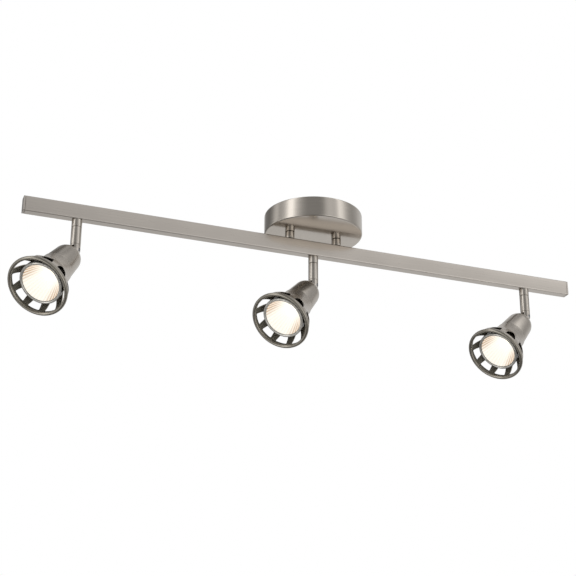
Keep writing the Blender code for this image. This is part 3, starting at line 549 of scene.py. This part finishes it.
def bowl_surface(columns=432):
    """A paraboloid outside and inside. Inside, cos(flutes x angle) ripples the radius, fading to the neck."""
    size = LAMP
    share = np.linspace(0, 1, 22)
    squared = size["radius"] ** 2 + (size["neck"] ** 2 - size["radius"] ** 2) * share
    outer = np.stack([np.sqrt(squared), -(size["front"] - size["depth"] * share)], axis=1)
    inner = outer - (size["glass"], 0)
    neck_top = -(size["front"] - size["depth"])
    neck_end = neck_top + size["neck_length"]
    neck = rounded([(0, neck_end), (size["neck"], neck_end), outer[-1]], 1.2 * MM)
    profile = np.vstack([neck[:-1], outer[::-1], inner[:-1], [(0, neck_top - size["glass"])]])
    vertices, faces, _ = lathe(profile, columns)
    is_inner = np.repeat(np.arange(len(profile)) >= len(profile) - len(inner), columns)
    angle = np.arctan2(vertices[:, 1], vertices[:, 0])
    radius = np.hypot(vertices[:, 0], vertices[:, 1])
    ripple = 0.35 * MM * np.cos(size["flutes"] * angle) * np.clip(radius / size["radius"], 0, 1)
    scale = np.where(is_inner & (radius > MM), 1 - np.abs(ripple) / np.maximum(radius, MM), 1.0)
    vertices[:, :2] *= scale[:, None]
    uv = vertices[:, :2] / size["radius"]
    return vertices, faces, uv, is_inner


LOBE_ANGLE = math.radians(60)      # where the two tan lobes lie, from the pin


def lamp_material():
    """Warm light by place in the bowl: white in the middle, tan in two lobes near the rim, in fine flutes."""
    material, tree, shader = new_material("coated reflector glass, lit", "#4A4238", 0.0, 0.25)
    uv = add(tree, "ShaderNodeTexCoord")
    mask = add(tree, "ShaderNodeAttribute", attribute_name="lit_side")
    radius = add(tree, "ShaderNodeVectorMath", {0: uv.outputs["UV"]}, operation="LENGTH")
    parts = add(tree, "ShaderNodeSeparateXYZ", {"Vector": uv.outputs["UV"]})
    angle = add(tree, "ShaderNodeMath", {0: parts.outputs["Y"], 1: parts.outputs["X"]}, operation="ARCTAN2")
    turned_angle = add(tree, "ShaderNodeMath", {0: angle.outputs["Value"], 1: LOBE_ANGLE},
                       operation="SUBTRACT")
    lobe_cosine = add(tree, "ShaderNodeMath", {0: turned_angle.outputs["Value"]}, operation="COSINE")
    lobe_size = add(tree, "ShaderNodeMath", {0: lobe_cosine.outputs["Value"]}, operation="ABSOLUTE")
    lobe = add(tree, "ShaderNodeMapRange", {"Value": lobe_size.outputs["Value"], "From Min": 0.56,
                                           "From Max": 1.0, "To Min": 0.20, "To Max": 1.0},
               interpolation_type="SMOOTHSTEP")
    ring = add(tree, "ShaderNodeMapRange", {"Value": radius.outputs["Value"], "From Min": 0.30,
                                           "From Max": 0.86}, interpolation_type="SMOOTHSTEP")
    many = add(tree, "ShaderNodeMath", {0: angle.outputs["Value"], 1: float(LAMP["flutes"])},
               operation="MULTIPLY")
    wave = add(tree, "ShaderNodeMath", {0: many.outputs["Value"]}, operation="COSINE")
    flute = add(tree, "ShaderNodeMapRange", {"Value": wave.outputs["Value"], "From Min": -1.0, "From Max": 1.0,
                                            "To Min": 0.34, "To Max": 1.0})
    tan_share = add(tree, "ShaderNodeMath", {0: lobe.outputs["Result"], 1: ring.outputs["Result"]},
                    operation="MULTIPLY")
    tan_flutes = add(tree, "ShaderNodeMath", {0: tan_share.outputs["Value"], 1: flute.outputs["Result"]},
                     operation="MULTIPLY")
    glow = add(tree, "ShaderNodeMix", {0: tan_flutes.outputs["Value"], 6: linear("#FFFFFA"),
                                       7: linear("#A57A48")}, data_type="RGBA")
    lit = add(tree, "ShaderNodeMix", {0: mask.outputs["Fac"], 6: (0, 0, 0, 1), 7: glow.outputs[2]},
              data_type="RGBA")
    tree.links.new(lit.outputs[2], shader.inputs["Emission Color"])
    shader.inputs["Emission Strength"].default_value = 1.10
    return material


lamp_glass = lamp_material()
for head in HEADS:
    pivot, axes = PLACES[head]
    vertices, faces, uv, is_inner = bowl_surface()
    bowl = make_object("lamp_bowl_" + head, place(vertices, pivot, axes), faces, lamp_glass, uv, 30.0)
    mark(bowl, "lit_side", is_inner)
    drop_loose(bowl)
    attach(bowl, "head_" + head)
print("bowl flutes:", LAMP["flutes"])

# %% [markdown]
# ## Lens, burner and retaining ring
# A clear glass cover closes the bowl, and a thin ring with a rolled edge holds it; its bead is painted brighter
# than nickel as a painted highlight, and its flats nearly black as painted shade. Inside sits the burner, a
# small glass capsule. It is too bright to look at, so it only needs to be a glowing rounded rod.

# %% Clear glass, nickel with painted highlight and shade, and the burner's glow
def clear_glass():
    """Borosilicate glass: clear, smooth and faintly warm, with a slight unevenness in its gloss."""
    material, tree, shader = new_material("borosilicate glass, pressed", "#FFFDF8", 0.0, 0.03)
    shader.inputs["Transmission Weight"].default_value = 1.0
    shader.inputs["IOR"].default_value = 1.47
    place_node = add(tree, "ShaderNodeTexCoord")
    unevenness = add(tree, "ShaderNodeTexNoise", {"Vector": place_node.outputs["Object"], "Scale": 120.0})
    gloss = add(tree, "ShaderNodeMapRange", {"Value": unevenness.outputs["Fac"], "To Min": 0.01,
                                            "To Max": 0.05})
    tree.links.new(gloss.outputs["Result"], shader.inputs["Roughness"])
    return material


def burner_glow():
    """Quartz glass around a filament: white-hot, with a faint warm cloudiness."""
    material, tree, shader = new_material("quartz burner, lit", "#FFF6E6", 0.0, 0.2)
    place_node = add(tree, "ShaderNodeTexCoord")
    cloud = add(tree, "ShaderNodeTexNoise", {"Vector": place_node.outputs["Object"], "Scale": 200.0})
    warm = add(tree, "ShaderNodeMix", {0: cloud.outputs["Fac"], 6: linear("#FFFFFF"), 7: linear("#FFE9C8")},
               data_type="RGBA")
    tree.links.new(warm.outputs[2], shader.inputs["Emission Color"])
    shader.inputs["Emission Strength"].default_value = 1.2
    return material


glass = clear_glass()
burner_white = burner_glow()


def ring_nickel_with_painted_light():
    """Polished nickel with a painted highlight on the bead (brighter than nickel) and painted shade on the
    flats beside it (nearly black).
    """
    material, tree, shader = new_material("nickel plate, bright bead on dark flats", "#D8D4CC", 1.0, 0.14)
    mask = add(tree, "ShaderNodeAttribute", attribute_name="bead")
    place_node = add(tree, "ShaderNodeTexCoord")
    rub = add(tree, "ShaderNodeTexNoise", {"Vector": place_node.outputs["Object"], "Scale": 400.0})
    gloss = add(tree, "ShaderNodeMapRange", {"Value": rub.outputs["Fac"], "To Min": 0.10, "To Max": 0.20})
    tree.links.new(gloss.outputs["Result"], shader.inputs["Roughness"])
    # painted highlight and painted shade: the bead is tinted brighter than nickel, the flats nearly black
    tint = add(tree, "ShaderNodeMix", {0: mask.outputs["Fac"], 6: linear("#2A2824"), 7: linear("#F0EDE6")},
               data_type="RGBA")
    tree.links.new(tint.outputs[2], shader.inputs["Base Color"])
    return material


ring_nickel = ring_nickel_with_painted_light()

# %% Turn the lens, the ring and the burner
LENS = dict(radius=24.6 * MM, rear=83.5 * MM, front=84.7 * MM)
RING = dict(outer=25.2 * MM, bore=24.8 * MM, opening=21.9 * MM, rear=80.9 * MM, lip_rear=85.0 * MM,
            front=85.9 * MM, bead=23.5 * MM, bead_width=1.1 * MM)
RING_BEAD_POINTS = 15
RING_COLUMNS = 160
BURNER = dict(radius=4.2 * MM, rear=54.5 * MM, shoulder=68.0 * MM)


def lens_profile():
    """A flat disc with its front crowned by 0.3 mm, as a shallow parabola."""
    r = np.linspace(0, 1, 14)
    front = np.stack([LENS["radius"] * r[::-1], -(LENS["front"] - 0.3 * MM * r[::-1] ** 2)], axis=1)
    return np.vstack([[(0, -LENS["rear"]), (LENS["radius"], -LENS["rear"])], front])


def ring_profile():
    """An L-shaped section. A half-round bead stands on its front: height = rise x sqrt(1 - x squared)."""
    size = RING
    base = size["lip_rear"] + 0.3 * MM
    x = np.cos(np.linspace(0, np.pi, RING_BEAD_POINTS))
    bead = np.stack([size["bead"] + size["bead_width"] / 2 * x,
                     -(base + (size["front"] - base) * np.sqrt(1 - x ** 2))], axis=1)
    back = [(size["opening"], -base), (size["opening"], -size["lip_rear"]), (size["bore"], -size["lip_rear"]),
            (size["bore"], -size["rear"]), (size["outer"], -size["rear"]), (size["outer"], -base)]
    return np.vstack([bead, back])


def burner_profile():
    """A rod with a half-round front end, standing in the bowl's floor."""
    radius, rear = BURNER["radius"], BURNER["rear"]
    turn = np.linspace(np.pi / 2, 0, 10)
    tip = np.stack([radius * np.cos(turn), -(BURNER["shoulder"] + radius * np.sin(turn))], axis=1)[::-1]
    return np.vstack([[(0, -rear), (radius, -rear)], tip])


for head in HEADS:
    pivot, axes = PLACES[head]
    body = "head_" + head
    turned_piece("lens_" + head, lens_profile(), pivot, glass, body, ["lamp_lens_" + head], axes, 128)
    ring = turned_piece("ring_" + head, ring_profile(), pivot, ring_nickel, body, ["lamp_ring_" + head], axes,
                        RING_COLUMNS, closed=True)
    mark(ring, "bead", np.repeat(np.arange(len(ring_profile())) < RING_BEAD_POINTS, RING_COLUMNS))
    turned_piece("burner_" + head, burner_profile(), pivot, burner_white, body, [], axes, 32)
    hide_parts("lamp_" + head)
print("lamp diameter %.0f mm" % (2000 * LAMP["radius"]))

# %% [markdown]
# ## Pieces kept from the CAD model
# The bar, its cover and caps, the knuckles, arms, nuts and crossbar already have their right shapes. A CAD
# node's triangles are separate, so each one looks flat. A copy is merged at its corners and shaded smooth up
# to a sharp angle, and then stands for the node.

# %% Merge and smooth a copy of a CAD node
def smoothed(node, name, body, material, sharp=32.0, ease=0.0):
    """A copy of a CAD node with its corners merged, smooth shading below an angle, and eased edges."""
    mesh = nodes[node].data.copy()
    editor = bmesh.new()
    editor.from_mesh(mesh)
    bmesh.ops.remove_doubles(editor, verts=editor.verts, dist=0.002 * MM)
    bmesh.ops.dissolve_limit(editor, angle_limit=math.radians(0.5), verts=editor.verts, edges=editor.edges)
    editor.to_mesh(mesh)
    editor.free()
    mesh.materials.clear()
    mesh.materials.append(material)
    mesh.name = name
    obj = bpy.data.objects.new(name, mesh)
    bpy.context.scene.collection.objects.link(obj)
    if ease:
        edges = obj.modifiers.new("Eased edges", "BEVEL")
        edges.width = ease
        edges.segments = 2
        edges.limit_method = "ANGLE"
        edges.angle_limit = math.radians(50)
    mesh.shade_smooth()
    mesh.set_sharp_from_angle(angle=math.radians(sharp))
    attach(obj, body)
    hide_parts(node)
    return obj


smoothed("bar_channel", "bar", "fixture", bar_nickel, ease=0.25 * MM)
smoothed("bar_cover", "cover_strip", "fixture", bar_nickel, ease=0.2 * MM)
for side in ("left", "right"):
    smoothed("end_cap_" + side, "cap_" + side, "fixture", bar_nickel, ease=0.25 * MM)

# %% [markdown]
# ## Zinc, ceramic and plastic
# What holds the fixture together is cheap and hidden: zinc-plated steel for the crossbar, nuts and threaded
# tubes, a glazed ceramic lamp holder, and soft plastic on the wires. Zinc has a faint blue-grey cloudiness,
# glaze has a few specks, and moulded plastic has a fine grain.

# %% Plain finishes with their own grain
def grained(name, base, other, metallic, roughness, grain, depth, contrast=(0.4, 0.6)):
    """Noise of a real grain size mixes two close colours, and lifts the surface by a little."""
    material, tree, shader = new_material(name, base, metallic, roughness)
    place_node = add(tree, "ShaderNodeTexCoord")
    noise = add(tree, "ShaderNodeTexNoise", {"Vector": place_node.outputs["Object"], "Scale": 1 / grain,
                                            "Detail": 4.0})
    spread = add(tree, "ShaderNodeMapRange", {"Value": noise.outputs["Fac"], "From Min": contrast[0],
                                             "From Max": contrast[1]})
    tint = add(tree, "ShaderNodeMix", {0: spread.outputs["Result"], 6: linear(base), 7: linear(other)},
               data_type="RGBA")
    tree.links.new(tint.outputs[2], shader.inputs["Base Color"])
    gloss = add(tree, "ShaderNodeMapRange", {"Value": noise.outputs["Fac"], "To Min": roughness * 0.8,
                                            "To Max": roughness * 1.2})
    tree.links.new(gloss.outputs["Result"], shader.inputs["Roughness"])
    bump = add(tree, "ShaderNodeBump", {"Height": noise.outputs["Fac"], "Strength": depth,
                                       "Distance": 0.1 * MM})
    tree.links.new(bump.outputs["Normal"], shader.inputs["Normal"])
    return material


zinc = grained("zinc-plated steel", "#B9BCC0", "#A2A6AC", 1.0, 0.36, 3.0 * MM, 0.10)
ceramic = grained("steatite ceramic, glazed", "#E9E4D8", "#D9D2C2", 0.0, 0.28, 1.5 * MM, 0.05, (0.55, 0.75))
orange_plastic = grained("polypropylene, moulded", "#D9742B", "#C9641E", 0.0, 0.45, 0.8 * MM, 0.15)
black_wire = grained("PVC insulation, black", "#1C1C1E", "#29292B", 0.0, 0.42, 0.8 * MM, 0.10)
white_wire = grained("PVC insulation, white", "#E4E3DF", "#D6D5D0", 0.0, 0.42, 0.8 * MM, 0.10)
green_paint = grained("chromate green plate", "#2F6B3C", "#275C33", 0.6, 0.38, 1.2 * MM, 0.10)

# %% Finish the small pieces
for node, material, slot in (("mounting_crossbar", zinc, "steel"), ("ground_screw", green_paint, "green"),
                             ("wire_connector_line", orange_plastic, "orange"),
                             ("wire_connector_neutral", orange_plastic, "orange"),
                             ("lead_line", black_wire, "black"), ("lead_neutral", white_wire, "white"),
                             ("canopy_screw_left", zinc, "steel"), ("canopy_screw_right", zinc, "steel")):
    smoothed(node, node + "_finished", "fixture", material, 40.0)
for side in ("left", "right"):
    for node in ("stem_nipple_", "canopy_nut_", "bar_nut_"):
        smoothed(node + side, node + side + "_finished", "fixture", zinc, 40.0)
for head in HEADS:
    for node in ("swivel_spindle_", "spindle_nut_", "pivot_pin_"):
        smoothed(node + head, node + head + "_finished", "stem_" + head, zinc, 40.0)
    smoothed("tilt_knuckle_" + head, "knuckle_" + head, "stem_" + head, turned_nickel, 40.0)
    smoothed("swivel_arm_" + head, "arm_" + head, "head_" + head, bar_nickel, 40.0)
    smoothed("lamp_holder_" + head, "holder_" + head, "head_" + head, ceramic, 40.0)

# %% [markdown]
# ## Studio
# A small polished object is really a picture of the room around it, so the lights are what give it its form.
# In reflections the room is a ring of light and dark upright panels, which draw the upright highlights down the
# canopy and the heads; to the camera it is plain white. One soft box hangs above and one small one lies low.

# %% Floor
FLOOR_HEIGHT = -1.30
FLOOR_HALF_WIDTH = 40
corner = np.array([(-1, -1), (1, -1), (1, 1), (-1, 1)], float) * FLOOR_HALF_WIDTH
floor = make_object("floor", np.column_stack([corner, np.full(4, FLOOR_HEIGHT)]), [[0, 1, 2, 3]],
                    grained("white paper", "#F8F8F6", "#F6F6F3", 0.0, 0.8, 40 * MM, 0.0))
floor.visible_glossy = False


# %% Soft boxes
LIT_PLACE = np.array([0, 0, -0.05])      # what the soft boxes point at


def soft_box(name, azimuth, elevation, distance, width, height, power):
    """An area light. The azimuth is from the front (-Y) towards the left (-X), in degrees."""
    turn, rise = math.radians(azimuth), math.radians(elevation)
    way = np.array([-math.sin(turn) * math.cos(rise), -math.cos(turn) * math.cos(rise), math.sin(rise)])
    light = bpy.data.lights.new(name, "AREA")
    light.shape = "RECTANGLE"
    light.size, light.size_y = width, height
    light.energy = power
    obj = bpy.data.objects.new(name, light)
    bpy.context.scene.collection.objects.link(obj)
    obj.location = LIT_PLACE + way * distance
    obj.rotation_euler = Vector(way).to_track_quat("Z", "Y").to_euler()
    obj.visible_camera = False
    return obj


overhead = soft_box("soft_box_overhead", azimuth=20, elevation=62, distance=2.2, width=1.6, height=1.6,
                    power=45.0)
overhead.visible_glossy = False
soft_box("soft_box_low", azimuth=-20, elevation=-26, distance=1.5, width=1.1, height=0.5, power=0.9)
print("soft box power %.0f W" % overhead.data.energy)


# %% Room
def levels(ramp, stops):
    """Fill a colour ramp with grey levels given as (place from 0 to 1, level) pairs."""
    elements = ramp.color_ramp.elements
    for extra in stops[2:]:
        elements.new(extra[0])
    for element, (position, level) in zip(elements, stops):
        element.position = position
        element.color = (level, level, level, 1)


# ROUND is the room's level at each azimuth, in degrees from the front towards the left. UPRIGHT multiplies it
# by a level for each height, from -1 straight down to 1 straight up.
ROUND = ((-180, 0.50), (-172, 0.62), (-150, 0.72), (-110, 0.66), (-95, 0.50), (-81, 0.42), (-70, 0.50),
         (-60, 0.72), (-51, 1.15), (-42, 1.40), (-35, 0.82), (-28, 0.70), (-18, 0.78), (-9, 0.66), (-2, 0.38),
         (6, 0.31), (34, 0.31), (44, 0.40), (53, 0.58), (62, 0.95), (70, 1.75), (79, 1.75), (86, 1.00),
         (94, 0.65), (106, 0.50), (114, 0.78), (122, 0.66), (132, 0.34), (144, 0.20), (170, 0.24), (180, 0.50))
UPRIGHT = ((-1.0, 0.26), (-0.92, 0.26), (-0.78, 0.72), (-0.62, 1.0), (0.86, 1.0), (0.95, 0.68), (1.0, 0.66))


def room():
    """White to the camera. In reflections: a ring of light and dark upright panels, fading below and above."""
    world = bpy.data.worlds.new("studio")
    bpy.context.scene.world = world
    world.use_nodes = True
    tree = world.node_tree
    background = tree.nodes["Background"]
    way = add(tree, "ShaderNodeTexCoord")
    parts = add(tree, "ShaderNodeSeparateXYZ", {"Vector": way.outputs["Generated"]})
    left = add(tree, "ShaderNodeMath", {0: parts.outputs["X"], 1: -1.0}, operation="MULTIPLY")
    front = add(tree, "ShaderNodeMath", {0: parts.outputs["Y"], 1: -1.0}, operation="MULTIPLY")
    azimuth = add(tree, "ShaderNodeMath", {0: left.outputs["Value"], 1: front.outputs["Value"]},
                  operation="ARCTAN2")
    share = add(tree, "ShaderNodeMapRange", {"Value": azimuth.outputs["Value"], "From Min": -math.pi,
                                            "From Max": math.pi})
    panels = add(tree, "ShaderNodeValToRGB", {"Fac": share.outputs["Result"]})
    levels(panels, [((degrees + 180) / 360, level) for degrees, level in ROUND])
    height = add(tree, "ShaderNodeMapRange", {"Value": parts.outputs["Z"], "From Min": -1.0, "From Max": 1.0})
    fade = add(tree, "ShaderNodeValToRGB", {"Fac": height.outputs["Result"]})
    levels(fade, [((z + 1) / 2, level) for z, level in UPRIGHT])
    shown = add(tree, "ShaderNodeMix", {0: 1.0, 6: panels.outputs["Color"], 7: fade.outputs["Color"]},
                data_type="RGBA", blend_type="MULTIPLY")
    path = add(tree, "ShaderNodeLightPath")
    seen = add(tree, "ShaderNodeMix", {0: path.outputs["Is Camera Ray"], 6: shown.outputs[2],
                                       7: (1.0, 1.0, 1.0, 1.0)}, data_type="RGBA")
    tree.links.new(seen.outputs[2], background.inputs["Color"])
    background.inputs["Strength"].default_value = 1.0


room()
bpy.context.scene.view_settings.view_transform = "Standard"

# %% [markdown]
# ## Camera
# The fixture is seen from the front, a little to the left and from well below, as by someone standing in the
# room. A long lens keeps the bar's edges nearly parallel.

# %% Camera
CAMERA_PLACE = (-0.5531, -1.3937, -0.7112)
CAMERA_YAW = 20.48
CAMERA_PITCH = 22.39
CAMERA_ROLL = 0.23
LENS_LENGTH = 84.1       # millimetres, on a sensor 36 mm wide
lens_data = bpy.data.cameras.new("camera")
lens_data.sensor_width = 36.0
lens_data.lens = LENS_LENGTH
camera = bpy.data.objects.new("camera", lens_data)
bpy.context.scene.collection.objects.link(camera)
camera.location = CAMERA_PLACE
aim = Euler((math.radians(90 + CAMERA_PITCH), 0, math.radians(-CAMERA_YAW))).to_matrix()
camera.rotation_euler = (aim @ Matrix.Rotation(math.radians(CAMERA_ROLL), 3, "Z")).to_euler()
bpy.context.scene.camera = camera
print("camera at", CAMERA_PLACE)
